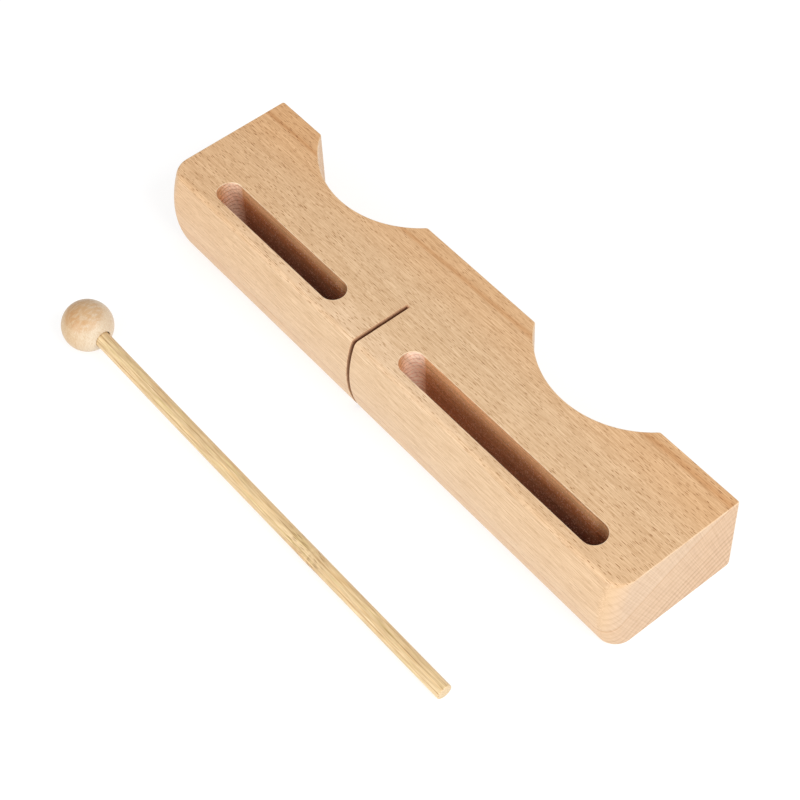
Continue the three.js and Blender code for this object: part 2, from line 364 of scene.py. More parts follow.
# Bamboo, whose fibres run along Y
BUNDLE_SPACING = 0.85
BUNDLE_SCATTER = 0.85
BUNDLE_WANDER = 0.55
BUNDLE_WANDER_SIZES = (2.5, 32.0, 2.5)
BUNDLE_EDGE = (0.08, 0.36, 1.0, 0.0)
BUNDLE_STRENGTHS = (0.0, 1.0, 0.25, 1.0)
BUNDLE_STRENGTH = 0.75
BUNDLE_RELIEF = 0.5
BAMBOO_FIBRE_SIZES = (0.32, 9.0, 0.32)
BAMBOO_FIBRE_DETAIL = 3.0
BAMBOO_FIBRE_CONTRAST = 1.9
BAMBOO_ROUGHNESS = (0.3, 0.7, 0.34, 0.5)
BAMBOO_STREAK_SIZES = (1.2, 60.0, 1.2)
BAMBOO_STREAK_CONTRAST = 0.7
BAMBOO_STRIPE_SIZES = (0.9, 24.0, 0.9)
GREENISH_STRIPES = (0.52, 0.68)
ORANGE_STRIPES = (0.32, 0.48, 1.0, 0.0)
HANDLE_END_FACING = (0.6, 0.95)
BAMBOO_DARK = (0.47, 0.31, 0.145, 1)
BAMBOO_LIGHT = (0.88, 0.68, 0.405, 1)
BAMBOO_BUNDLE = (0.60, 0.44, 0.30, 1)
BAMBOO_GREENISH = (0.97, 1.0, 0.87, 1)
BAMBOO_ORANGE = (1.0, 0.94, 0.84, 1)
BAMBOO_END = (1.0, 1.03, 1.12, 1)

# The bamboo's node: a paler ring, and dark dashes that it bends aside
NODE_RING_EDGE = (0.3, 1.1, 1.0, 0.0)
NODE_DASHES_START = (-21.0, -7.0)
NODE_DASHES_END = (5.0, 13.0, 1.0, 0.0)
NODE_DASH_GAP = (0.5, 1.2)
NODE_DASHES = ((4.8, 0.66), (2.8, 0.22), (0.4, 0.3))
NODE_BEND = 1.6
NODE_BEND_FADE = 0.3
BAMBOO_NODE = (0.28, 0.14, 0.04, 1)
BAMBOO_NODE_RING = (1.06, 1.08, 1.12, 1)


def linked(name, data):
    """A new object, in the scene."""
    made = bpy.data.objects.new(name, data)
    bpy.context.scene.collection.objects.link(made)
    return made


def wave(x, y, z, period):
    """Smooth noise from -1 to 1 whose bumps are about one period across."""
    return noise.noise(Vector((x, y, z)) / period)


def eased_inset(radius, distance):
    """How far a rounded edge draws a side in, this far from the flat face."""
    if distance >= radius:
        return 0.0
    return radius - math.sqrt(radius ** 2 - (radius - distance) ** 2)


def crowned_side_y(z):
    """The crowned side at a height: the crown's arc with a rounded edge above and below it."""
    centre_y = CREST_Y + CROWN_RADIUS
    edge_z = MIDDLE_Z - CROWNED_EDGE_RADIUS
    edge_offset = math.sqrt((CROWN_RADIUS - CROWNED_EDGE_RADIUS) ** 2 - edge_z ** 2)
    tangent_height = edge_z * CROWN_RADIUS / (CROWN_RADIUS - CROWNED_EDGE_RADIUS)
    from_middle = abs(z - MIDDLE_Z)
    if from_middle <= tangent_height:
        return centre_y - math.sqrt(CROWN_RADIUS ** 2 - from_middle ** 2)
    climb = from_middle - edge_z
    return centre_y - edge_offset - math.sqrt(max(0.0, CROWNED_EDGE_RADIUS ** 2 - climb ** 2))


def arc(centre_x, centre_y, radius, start, end, steps):
    """Points of an arc, ends included."""
    angles = np.linspace(start, end, steps + 1)
    return [(centre_x + radius * math.cos(a), centre_y + radius * math.sin(a)) for a in angles]


def scallop_outline(middle_x, back_line, inset):
    """One finger grip as seen from above, from its right corner to its left one."""
    centre_y = BACK_Y - SCALLOP_DEPTH + SCALLOP_RADIUS
    radius = SCALLOP_RADIUS + inset
    corner_y = back_line - SCALLOP_CORNER_RADIUS
    reach = math.sqrt((radius + SCALLOP_CORNER_RADIUS) ** 2 - (centre_y - corner_y) ** 2)
    lean = math.atan2(centre_y - corner_y, reach)
    return [
        *arc(middle_x + reach, corner_y, SCALLOP_CORNER_RADIUS, QUARTER, math.pi - lean, EDGE_STEPS),
        *arc(middle_x, centre_y, radius, -lean, lean - math.pi, SCALLOP_STEPS)[1:-1],
        *arc(middle_x - reach, corner_y, SCALLOP_CORNER_RADIUS, lean, QUARTER, EDGE_STEPS),
    ]


def kerf_outline(z, front_y):
    """The saw kerf as seen from above, from its left lip round its end to its right lip."""
    inset = eased_inset(KERF_EDGE_EASING, min(z, THICKNESS - z))
    half = KERF_WIDTH / 2 + inset
    end_y = KERF_END_Y + inset
    lip = KERF_EDGE_EASING
    side_ys = np.linspace(front_y + lip, end_y - KERF_END_RADIUS, KERF_WALL_STEPS + 1)[1:-1]
    left_end = KERF_X - half + KERF_END_RADIUS
    right_end = KERF_X + half - KERF_END_RADIUS
    points = [
        *arc(KERF_X - half - lip, front_y + lip, lip, -QUARTER, 0, EDGE_STEPS),
        *[(KERF_X - half, y) for y in side_ys],
        *arc(left_end, end_y - KERF_END_RADIUS, KERF_END_RADIUS, math.pi, QUARTER, EDGE_STEPS),
        *arc(right_end, end_y - KERF_END_RADIUS, KERF_END_RADIUS, QUARTER, 0, EDGE_STEPS),
        *[(KERF_X + half, y) for y in side_ys[::-1]],
        *arc(KERF_X + half + lip, front_y + lip, lip, math.pi, 3 * QUARTER, EDGE_STEPS),
    ]

    def waviness(x, y):
        return KERF_WAVINESS * wave(math.copysign(1, x - KERF_X), y, z, KERF_WAVE_PERIOD)

    return [(x + waviness(x, y), y) for x, y in points]


def block_outline(z):
    """The block's outline at a height, anticlockwise as seen from above, and which points are the kerf's."""
    from_top = THICKNESS - z
    from_face = min(z, from_top)
    inset = eased_inset(FINE_EDGE_RADIUS, from_face)
    end_x = HALF_LENGTH - inset
    back_line = BACK_Y - max(eased_inset(BACK_UNDER_EDGE_RADIUS, z), eased_inset(FINE_EDGE_RADIUS, from_top))
    front_y = crowned_side_y(z)
    front_x = end_x - CROWNED_CORNER_RADIUS
    back_x = end_x - BACK_CORNER_RADIUS
    front_corner_y = front_y + CROWNED_CORNER_RADIUS
    back_corner_y = back_line - BACK_CORNER_RADIUS
    mouth = math.sqrt(SCALLOP_RADIUS ** 2 - (SCALLOP_RADIUS - SCALLOP_DEPTH) ** 2)
    left_x = -HALF_LENGTH + LEFT_FOOT_LENGTH + mouth
    right_x = HALF_LENGTH - RIGHT_FOOT_LENGTH - mouth
    left = arc(-front_x, front_corner_y, CROWNED_CORNER_RADIUS, math.pi, 3 * QUARTER, CORNER_STEPS)
    kerf = kerf_outline(z, front_y)
    rest = [
        *arc(front_x, front_corner_y, CROWNED_CORNER_RADIUS, 3 * QUARTER, 4 * QUARTER, CORNER_STEPS),
        *arc(back_x, back_corner_y, BACK_CORNER_RADIUS, 0, QUARTER, EDGE_STEPS),
        *scallop_outline(right_x, back_line, inset),
        *scallop_outline(left_x, back_line, inset),
        *arc(-back_x, back_corner_y, BACK_CORNER_RADIUS, QUARTER, math.pi, EDGE_STEPS),
    ]
    return [*left, *kerf, *rest], range(len(left), len(left) + len(kerf))


def block_heights():
    """Heights of the block's outlines: close together in the rounded edges, wider apart on the crown."""
    radii = (KERF_EDGE_EASING, FINE_EDGE_RADIUS, BACK_UNDER_EDGE_RADIUS, CROWNED_EDGE_RADIUS)
    shares = 1 - np.cos(np.linspace(0, QUARTER, EDGE_STEPS + 1))
    under = sorted({round(radius * share, HEIGHT_DIGITS) for radius in radii for share in shares})
    crown = np.linspace(CROWNED_EDGE_RADIUS, THICKNESS - CROWNED_EDGE_RADIUS, CROWN_STEPS + 1)[1:-1]
    return [*under, *crown, *[THICKNESS - z for z in reversed(under)]]


def slot_outline(span, grown, z):
    """A slot's outline as seen from above, anticlockwise. grown(x, y) is how far it stands out there."""
    radius = SLOT_WIDTH / 2
    left, right = span[0] + radius, span[1] - radius
    side_xs = np.linspace(left, right, round((right - left) / SLOT_SIDE_SPACING))[1:-1]

    def round_end(centre_x, start, end):
        ways = [(math.cos(a), math.sin(a)) for a in np.linspace(start, end, SLOT_END_STEPS + 1)]
        return [(centre_x + radius * x, SLOT_Y + radius * y, x, y) for x, y in ways]

    middle = [
        *[(x, SLOT_Y - radius, 0, -1) for x in side_xs],
        *round_end(right, -QUARTER, QUARTER),
        *[(x, SLOT_Y + radius, 0, 1) for x in side_xs[::-1]],
        *round_end(left, QUARTER, 3 * QUARTER),
    ]
    points = []
    for x, y, out_x, out_y in middle:
        out = grown(x, y) + SLOT_CHATTER * wave(x, y, z, SLOT_CHATTER_PERIOD)
        points.append((x + out * out_x, y + out * out_y))
    return points


def slot_marks(span, paleness):
    """For each point of a slot's outline: how pale it is, and its share of the way along."""
    radius = SLOT_WIDTH / 2
    left, right = span[0] + radius, span[1] - radius
    marks = []
    for x, y in slot_outline(span, lambda x, y: 0.0, 0.0):
        if x < left + ROUND_END_MARGIN:
            angle = math.atan2(y - SLOT_Y, x - left) % (2 * math.pi)
        else:
            angle = math.atan2(y - SLOT_Y, x - right) + math.pi
        torn_and_lit = max(0.0, math.cos(PALE_NARROWNESS * (angle - PALEST_ANGLE))) ** PALE_FADE
        past_end = max(0.0, min(x - left, right - x))
        near_end = max(0.0, 1 - past_end / PALE_REACH) ** 2
        marks.append((paleness * near_end * torn_and_lit, (x - span[0]) / (span[1] - span[0])))
    return marks


def slot_layers(span):
    """A slot's outlines from its eased rim down to its floor, each with its height."""
    layers = []

    def rim_easing(x, y):
        lifted = max(0.0, wave(x, y, 0, SLOT_RIM_PATCH))
        return SLOT_RIM_EASING + SLOT_RIM_UNEVENNESS * lifted

    for angle in np.linspace(0, QUARTER, EDGE_STEPS + 1):
        z = THICKNESS - SLOT_RIM_EASING * (1 - math.cos(angle))
        share = 1 - math.sin(angle)
        layers.append((z, slot_outline(span, lambda x, y, s=share: rim_easing(x, y) * s, z)))
    wall_top = THICKNESS - SLOT_RIM_EASING
    wall_foot = SLOT_FLOOR + SLOT_FLOOR_FILLET
    steps = round((wall_top - wall_foot) / SLOT_DEPTH_SPACING)
    for z in np.linspace(wall_top, wall_foot, steps + 1)[1:]:
        layers.append((z, slot_outline(span, lambda x, y: 0.0, z)))
    for angle in np.linspace(0, QUARTER, EDGE_STEPS + 1)[1:]:
        z = wall_foot - SLOT_FLOOR_FILLET * math.sin(angle)
        inset = SLOT_FLOOR_FILLET * (1 - math.cos(angle))
        layers.append((z, slot_outline(span, lambda x, y, i=inset: -i, wall_foot)))
    return layers


class Skin:
    """A closed mesh in the making: vertices with their own normals, faces with their own material."""

    def __init__(self):
        self.points = []
        self.normals = []
        self.edge_wear_and_highlight = []
        self.marks = []
        self.faces = []
        self.face_materials = []

    def add_rows(self, rows, first_normal, last_normal, material_of, marks=None):
        """Quads between rows of equally many points. The two end rows meet a flat cap with that normal."""
        grid = np.array(rows)
        across = np.roll(grid, -1, axis=1) - np.roll(grid, 1, axis=1)
        along = np.gradient(grid, axis=0)
        along[1:-1] = grid[2:] - grid[:-2]
        normals = np.cross(across, along)
        normals /= np.linalg.norm(normals, axis=2, keepdims=True)
        self.edge_wear_and_highlight.extend(self.wear_and_highlight(grid, normals).ravel().tolist())
        normals[0] = first_normal
        normals[-1] = last_normal
        start = len(self.points)
        levels, count = grid.shape[:2]
        self.marks.extend((marks or [(0.0, 0.0)] * count) * levels)
        self.points.extend(grid.reshape(-1, 3).tolist())
        self.normals.extend(normals.reshape(-1, 3).tolist())
        for level in range(levels - 1):
            for i in range(count):
                a = start + level * count + i
                b = start + level * count + (i + 1) % count
                self.faces.append((a, b, b + count, a + count))
                self.face_materials.append(material_of(level, i))
        last = start + (levels - 1) * count
        return list(range(start, start + count)), list(range(last, last + count))

    @staticmethod
    def wear_and_highlight(grid, normals):
        """How much rubbing and painted highlight each point gets: more where the surface bends more sharply,
        and not at the flat caps.
        """
        bends = []
        for axis in (0, 1):
            turn = np.linalg.norm(np.roll(normals, -1, axis) - np.roll(normals, 1, axis), axis=2)
            way = np.linalg.norm(np.roll(grid, -1, axis) - np.roll(grid, 1, axis), axis=2)
            bends.append(turn / np.maximum(way, SMALLEST_SPACING))
        sharpness = np.maximum(*bends) * SHARPEST_WORN_AND_HIGHLIT_RADIUS
        worn_and_highlit = np.clip((sharpness - BLUNTEST_WORN_AND_HIGHLIT_SHARE) / (1 - BLUNTEST_WORN_AND_HIGHLIT_SHARE), 0, 1)
        worn_and_highlit[[0, -1]] = 0
        return worn_and_highlit

    def add_cap(self, loops, facing_up, material=SANDED):
        """A flat face inside the first loop and outside the others, as triangles."""
        order = [index for loop in loops for index in loop]
        outlines = [[Vector(self.points[index]) for index in loop] for loop in loops]
        for triangle in geometry.tessellate_polygon(outlines):
            a, b, c = (order[i] for i in triangle)
            pa, pb, pc = (Vector(self.points[i]) for i in (a, b, c))
            turn = (pb - pa).cross(pc - pa).z
            if turn == 0:
                continue
            self.faces.append((a, b, c) if (turn > 0) == facing_up else (a, c, b))
            self.face_materials.append(material)

    def build(self, name_of_piece, materials):
        mesh = bpy.data.meshes.new(name_of_piece)
        mesh.from_pydata(self.points, [], self.faces)
        for material in materials:
            mesh.materials.append(material)
        mesh.polygons.foreach_set("material_index", self.face_materials)
        mesh.polygons.foreach_set("use_smooth", [True] * len(self.faces))
        for name, values in zip((WEAR_AND_HIGHLIGHT, PALE, RUN), (self.edge_wear_and_highlight, *zip(*self.marks))):
            mesh.attributes.new(name, "FLOAT", "POINT").data.foreach_set("value", values)
        mesh.normals_split_custom_set_from_vertices(self.normals)
        mesh.update()
        return linked(name_of_piece, mesh)


def make_block(materials):
    """The tone block: its sides, both slots and the flat faces between them."""
    skin = Skin()
    up, down = (0, 0, 1), (0, 0, -1)
    rows, kerf_points = [], ()
    for z in block_heights():
        outline, kerf_points = block_outline(z)
        rows.append([(x, y, z) for x, y in outline])
    sawn = range(kerf_points.start, kerf_points.stop - 1)
    under, upper = skin.add_rows(rows, down, up, lambda level, i: SAWN if i in sawn else SANDED)
    rims = []
    for span, paleness in zip((HIGH_SLOT, LOW_SLOT), PALE_ENDS):
        slot_rows = [[(x, y, z) for x, y in outline] for z, outline in slot_layers(span)]
        rim, floor = skin.add_rows(
            slot_rows, up, up,
            lambda level, i: SANDED if level < EDGE_STEPS else ROUTED,
            slot_marks(span, paleness),
        )
        rims.append(rim)
        skin.add_cap([floor], True, ROUTED)
    skin.add_cap([upper, *rims], True)
    skin.add_cap([under], False)
    block = skin.build("fine_tone_block", materials)
    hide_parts("tone_block")
    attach(block, "block")


def handle_measures():
    """The CAD handle: where it passes the ball's middle, its direction, its two ends and its radius."""
    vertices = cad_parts["mallet_handle"].data.vertices
    corners = [Vector(place) for place in {tuple(round(c, CORNER_DIGITS) for c in v.co) for v in vertices}]
    away = sum(corners, Vector()) / len(corners) - BALL_CENTRE
    far = [(corner - BALL_CENTRE).dot(away.normalized()) for corner in corners]
    first = [c for c, distance in zip(corners, far) if distance < min(far) + MM]
    last = [c for c, distance in zip(corners, far) if distance > max(far) - MM]
    first_middle, last_middle = (sum(ring, Vector()) / len(ring) for ring in (first, last))
    axis = (last_middle - first_middle).normalized()
    origin = first_middle + axis * (BALL_CENTRE - first_middle).dot(axis)
    places = [(corner - origin).dot(axis) for corner in corners]
    radius = max((corner - origin - axis * place).length for corner, place in zip(corners, places))
    return origin, axis, min(places), max(places), radius


def turned(name, profile, sides, material, shape=None):
    """A closed mesh of revolution round +Y through (radius, y) points whose ends lie on the axis."""
    points = [(0.0, profile[0][1], 0.0)]
    for radius, y in profile[1:-1]:
        for i in range(sides):
            angle = 2 * math.pi * i / sides
            r = radius + (shape(angle, y) if shape else 0.0)
            points.append((r * math.sin(angle), y, r * math.cos(angle)))
    points.append((0.0, profile[-1][1], 0.0))
    last = len(points) - 1
    rings = len(profile) - 2
    faces = [(0, 1 + i, 1 + (i + 1) % sides) for i in range(sides)]
    for ring in range(rings - 1):
        for i in range(sides):
            a = 1 + ring * sides + i
            b = 1 + ring * sides + (i + 1) % sides
            faces.append((a, a + sides, b + sides, b))
    foot = 1 + (rings - 1) * sides
    faces.extend((foot + i, last, foot + (i + 1) % sides) for i in range(sides))
    mesh = bpy.data.meshes.new(name)
    mesh.from_pydata(points, [], faces)
    mesh.materials.append(material)
    mesh.polygons.foreach_set("use_smooth", [True] * len(faces))
    return linked(name, mesh)


def mallet_place(origin, axis):
    """Where a piece made round +Y goes on the mallet: its X lies level and points away from the block."""
    level = axis.cross(Vector((0, 0, 1))).normalized()
    turn = Matrix((level, axis, level.cross(axis))).transposed()
    return Matrix.Translation(origin) @ turn.to_4x4()


def off_middle(ball, offset, mouth_radius, mouth_y, floor_y):
    """Moves a turned ball sideways off its bore: the bore stays, and its mouth follows the ball's surface."""
    for vertex in ball.data.vertices:
        x, y, z = vertex.co
        radius = math.hypot(x, z)
        on_surface = math.hypot(radius, y) > BALL_RADIUS * ON_SURFACE_SHARE
        share = 0.0
        if on_surface:
            share = 1.0 if y < 0 else (radius - mouth_radius) / (BALL_RADIUS - mouth_radius)
        x += offset.x * share + BORE_SLACK.x * (1 - share)
        z += offset.z * share + BORE_SLACK.z * (1 - share)
        surface_y = math.sqrt(BALL_RADIUS ** 2 - (x - offset.x) ** 2 - (z - offset.z) ** 2)
        if on_surface:
            vertex.co = (x, math.copysign(surface_y, y), z)
        else:
            lift = surface_y - math.sqrt(BALL_RADIUS ** 2 - radius ** 2)
            vertex.co = (x, y + lift * (y - floor_y) / (mouth_y - floor_y), z)


def make_ball(place, handle_radius, material):
    """The mallet's head: a ball with a blind bore whose mouth is slightly rounded."""
    bore = handle_radius + BORE_CLEARANCE
    edge = BORE_EDGE_RADIUS
    edge_centre_y = math.sqrt((BALL_RADIUS - edge) ** 2 - (bore + edge) ** 2)
    mouth = math.atan2(edge_centre_y, bore + edge)
    floor_y = BORE_FLOOR - BALL_RADIUS
    profile = [
        (0.0, -BALL_RADIUS),
        *arc(0, 0, BALL_RADIUS, -QUARTER, mouth, BALL_STEPS)[1:],
        *arc(bore + edge, edge_centre_y, edge, mouth, math.pi, EDGE_STEPS)[1:],
        *[(bore, y) for y in np.linspace(edge_centre_y, floor_y, BALL_STEPS // 4)[1:]],
        (0.0, floor_y),
    ]
    ball = turned("fine_mallet_head", profile, BALL_SIDES, material)
    mouth_radius = BALL_RADIUS * math.cos(mouth)
    off_middle(ball, place.inverted() @ BALL_CENTRE, mouth_radius, edge_centre_y, floor_y)
    ball.matrix_world = place
    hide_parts("mallet_head")
    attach(ball, "mallet")


def make_handle(place, start, end, node_y, radius, material):
    """The bamboo handle: a little uneven and bowed, with eased ends and a low swelling at its node."""
    ease = HANDLE_END_EASING
    profile = [
        (0.0, start),
        *arc(radius - ease, start + ease, ease, -QUARTER, 0, EDGE_STEPS),
        *[(radius, y) for y in np.linspace(start + ease, end - ease, HANDLE_STEPS)[1:-1]],
        *arc(radius - ease, end - ease, ease, 0, QUARTER, EDGE_STEPS),
        (0.0, end),
    ]

    def shape(angle, y):
        uneven = wave(math.cos(angle), math.sin(angle), y / HANDLE_UNEVEN_LENGTH, 1)
        swelling = math.exp(-((y - node_y) / NODE_LENGTH) ** 2)
        lobes = 1 - NODE_LOBE_DEPTH + NODE_LOBE_DEPTH * math.cos(NODE_LOBES * angle)
        return HANDLE_UNEVENNESS * uneven + NODE_SWELLING * swelling * lobes

    handle = turned("fine_mallet_handle", profile, HANDLE_SIDES, material, shape)
    for vertex in handle.data.vertices:
        share = (vertex.co.y - start) / (end - start)
        vertex.co.x += HANDLE_BOW * math.sin(math.pi * share)
    handle.matrix_world = place
    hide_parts("mallet_handle")
    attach(handle, "mallet")


class Shader:
    """One material's nodes, with a short call for each kind that it needs."""

    def __init__(self, name):
        self.material = bpy.data.materials.new(name)
        self.material.use_nodes = True
        self.tree = self.material.node_tree
        self.surface = self.tree.nodes["Principled BSDF"]

    def node(self, kind, inputs, **settings):
        made = self.tree.nodes.new("ShaderNode" + kind)
        for name, value in settings.items():
            setattr(made, name, value)
        for socket, value in inputs.items():
            self.feed(made.inputs[socket], value)
        return made

    def feed(self, socket, value):
        if isinstance(value, bpy.types.NodeSocket):
            self.tree.links.new(value, socket)
        else:
            socket.default_value = value

    def math(self, operation, *values):
        return self.node("Math", dict(enumerate(values)), operation=operation).outputs[0]

    def vector(self, operation, *values):
        sockets = (0, "Scale") if operation == "SCALE" else range(3)
        made = self.node("VectorMath", dict(zip(sockets, values)), operation=operation)
        return made.outputs[1 if operation in ("LENGTH", "DOT_PRODUCT") else 0]

    def combine(self, x, y, z):
        return self.node("CombineXYZ", {0: x, 1: y, 2: z}).outputs[0]

    def separate(self, vector):
        return self.node("SeparateXYZ", {0: vector}).outputs[:]

    def turn(self, vector, rotation):
        inputs = {"Vector": vector, "Rotation": rotation}
        return self.node("VectorRotate", inputs, rotation_type="EULER_XYZ").outputs[0]

    def noise(self, place, sizes, detail=2.0, colour=False):
        """Noise whose bumps are as long as sizes says, each way."""
        stretched = self.vector("DIVIDE", place, sizes)
        made = self.node("TexNoise", {"Vector": stretched, "Scale": 1.0, "Detail": detail})
        return made.outputs[1 if colour else 0]

    def white_noise(self, number):
        """A value that jumps from each number to the next."""
        return self.node("TexWhiteNoise", {"W": number}, noise_dimensions="1D").outputs[0]

    def step(self, value, low, high, to_low=0.0, to_high=1.0):
        """A smooth step from to_low to to_high as the value goes from low to high."""
        inputs = {"Value": value, "From Min": low, "From Max": high, "To Min": to_low, "To Max": to_high}
        return self.node("MapRange", inputs, interpolation_type="SMOOTHSTEP").outputs[0]

    def mix(self, share, first, second, blend="MIX"):
        made = self.node("Mix", {0: share, 6: first, 7: second}, data_type="RGBA", blend_type=blend)
        return made.outputs[2]

    def tint(self, share, colour, by):
        """The colour multiplied by another, as far as the share goes."""
        return self.mix(share, colour, by, "MULTIPLY")

    def total(self, *values):
        return reduce(lambda a, b: self.math("ADD", a, b), values)

    def product(self, *values):
        return reduce(lambda a, b: self.math("MULTIPLY", a, b), values)

    def less(self, first, second):
        return self.math("SUBTRACT", first, second)

    def swing(self, noise_value, amount):
        """Noise round its middle, made this strong."""
        return self.product(self.less(noise_value, 0.5), amount)

    def attribute(self, name):
        return self.node("Attribute", {}, attribute_name=name).outputs["Fac"]

    def finish(self, colour, roughness, height, bump):
        self.feed(self.surface.inputs["Base Color"], colour)
        self.feed(self.surface.inputs["Roughness"], roughness)
        relief = self.node("Bump", {"Height": height, "Strength": bump, "Distance": BUMP_DEPTH})
        self.feed(self.surface.inputs["Normal"], relief.outputs[0])
        return self.material


def spindles(s, along, across, cell, half, shift):
    """Short strokes with pointed ends, in rows: one to a cell, each of its own size and strength."""
    across_cells = s.total(s.math("DIVIDE", across, cell[1]), shift[1])
    row = s.white_noise(s.math("FLOOR", across_cells))
    row_shift = s.product(row, SPINDLE_ROW_SHIFT)
    along_cells = s.total(s.math("DIVIDE", along, cell[0]), shift[0], row_shift)
    spot = s.combine(along_cells, across_cells, 0.0)
    cells = s.node("TexVoronoi", {"Vector": spot, "Scale": 1.0, "Randomness": SPINDLE_SCATTER},
                   voronoi_dimensions="2D")
    away = s.vector("MULTIPLY", s.vector("SUBTRACT", spot, cells.outputs["Position"]), (*cell, 1.0))
    away_along, away_across, _ = s.separate(s.vector("ABSOLUTE", away))
    chance = s.separate(cells.outputs["Color"])
    length = s.product(s.step(chance[0], *SPINDLE_LENGTHS), half[0])
    width = s.product(s.step(chance[1], *SPINDLE_WIDTHS), half[1])
    taper = s.math("POWER", s.math("DIVIDE", away_along, length), 2.0)
    reach = s.total(s.math("DIVIDE", away_across, width), taper)
    return s.product(s.step(reach, *SPINDLE_EDGE), s.step(chance[2], *SPINDLE_STRENGTHS))


class Wood:
    """Where a point lies in the trunk: along the fibres, out from the pith and round it, in millimetres."""

    def __init__(self, shader, turn, pith):
        self.shader = s = shader
        places = s.node("TexCoord", {})
        self.object = s.vector("MULTIPLY", places.outputs["Object"], METRES_TO_MM)
        fibre = s.vector("ADD", s.turn(self.object, turn), pith)
        wander = s.vector("SUBTRACT", s.noise(fibre, FIBRE_WANDER_SIZES, 1.0, colour=True), NOISE_MIDDLE)
        self.place = s.vector("ADD", fibre, s.vector("MULTIPLY", wander, FIBRE_WANDER))
        self.along, y, z = s.separate(self.place)
        from_pith = s.vector("LENGTH", s.combine(0.0, y, z))
        self.radius = s.math("MULTIPLY_ADD", self.along, TRUNK_TAPER, from_pith)
        self.round = s.product(s.math("ARCTAN2", z, y), math.hypot(pith[1], pith[2]))
        facing = s.separate(s.vector("ABSOLUTE", s.turn(places.outputs["Normal"], turn)))
        self.flat_sawn = s.step(facing[2], *FLAT_SAWN_FACING)
        self.end_grain = s.step(facing[0], *END_GRAIN_FACING)
        self.fibres_rise = s.step(facing[0], *FIBRES_RISE_FACING)
        self.trunk = s.combine(self.along, self.round, self.radius)

    def rings(self):
        """Late wood's share of each growth ring: a slow rise and a quick fall, stronger in some rings."""
        s = self.shader
        drift = s.noise(s.combine(self.radius, 0.0, 0.0), RING_DRIFT_SIZES, 1.0)
        ring = s.math("DIVIDE", s.math("MULTIPLY_ADD", drift, RING_DRIFT, self.radius), RING_SPACING)
        part = s.math("FRACT", ring)
        late = s.product(s.step(part, *LATE_WOOD_RISE), s.step(part, *LATE_WOOD_FALL))
        return s.product(late, s.step(s.white_noise(s.math("FLOOR", ring)), *RING_STRENGTHS))

    def flecks(self, kind):
        """Rays cut across: spindles that lie along the fibres."""
        return spindles(self.shader, self.along, self.round, *kind)

    def dark_band(self):
        """One dark growth ring, and the warmer wood that lies inside it."""
        s = self.shader
        wander = s.less(s.noise(self.place, DARK_BAND_WANDER_SIZES, 1.0), 0.5)
        off = s.total(s.less(self.radius, DARK_BAND_RADIUS), wander)
        band = s.step(s.math("ABSOLUTE", off), *DARK_BAND_EDGE)
        inside = s.product(s.step(off, *HEART_FADE), HEART_STRENGTH)
        return band, s.math("MAXIMUM", s.step(off, *HEART_RIM), inside)


def plain_beech(s, wood, end_share=1.0, dark=BEECH_DARK, light=BEECH_LIGHT,
                contrast=BEECH_CONTRAST, marked=1.0):
    """Steamed beech: fine fibres, faint growth rings, and short dark flecks where the rays are cut across."""
    late = s.product(wood.rings(), s.step(wood.radius, *FADING_RINGS))
    fibres = s.noise(wood.place, FIBRE_SIZES)
    streak = s.noise(wood.place, STREAK_SIZES)
    cloud = s.noise(wood.place, CLOUD_SIZES, 1.0)
    rays = s.noise(wood.trunk, RAY_SIZES, 1.0)
    strong = wood.flecks(STRONG_FLECKS)
    faint = wood.flecks(FAINT_FLECKS)
    end = s.product(wood.end_grain, end_share)
    rise = s.product(wood.fibres_rise, end_share)
    show = s.product(s.step(wood.flat_sawn, *FLECKS_BY_FACE), marked, s.step(wood.end_grain, *FLECKS_ON_END))
    tone = s.total(0.5,
                   s.product(s.less(1.0, rise), s.swing(fibres, contrast)),
                   s.swing(cloud, CLOUD_CONTRAST),
                   s.product(late, s.step(rise, *LATE_WOOD_TONES)),
                   s.product(end, s.swing(rays, RAY_CONTRAST)))
    band, heart = wood.dark_band()
    colour = s.mix(tone, dark, light)
    end_colour = s.mix(tone, BEECH_END_DARK, BEECH_END_LIGHT)
    colour = s.mix(s.product(end, END_COLOUR_SHARE), colour, end_colour)
    colour = s.tint(heart, colour, BEECH_HEART)
    colour = s.tint(s.product(band, DARK_BAND_STRENGTH), colour, BEECH_BAND)
    faint_share = s.product(faint, s.product(show, FAINT_FLECK_STRENGTH))
    colour = s.tint(faint_share, colour, BEECH_FLECK)
    colour = s.tint(s.product(strong, show), colour, BEECH_FLECK)
    roughness = s.step(streak, *BEECH_ROUGHNESS)
    groove = s.product(strong, FLECK_RELIEF)
    height = s.less(s.product(fibres, FIBRE_RELIEF), groove)
    return colour, roughness, height


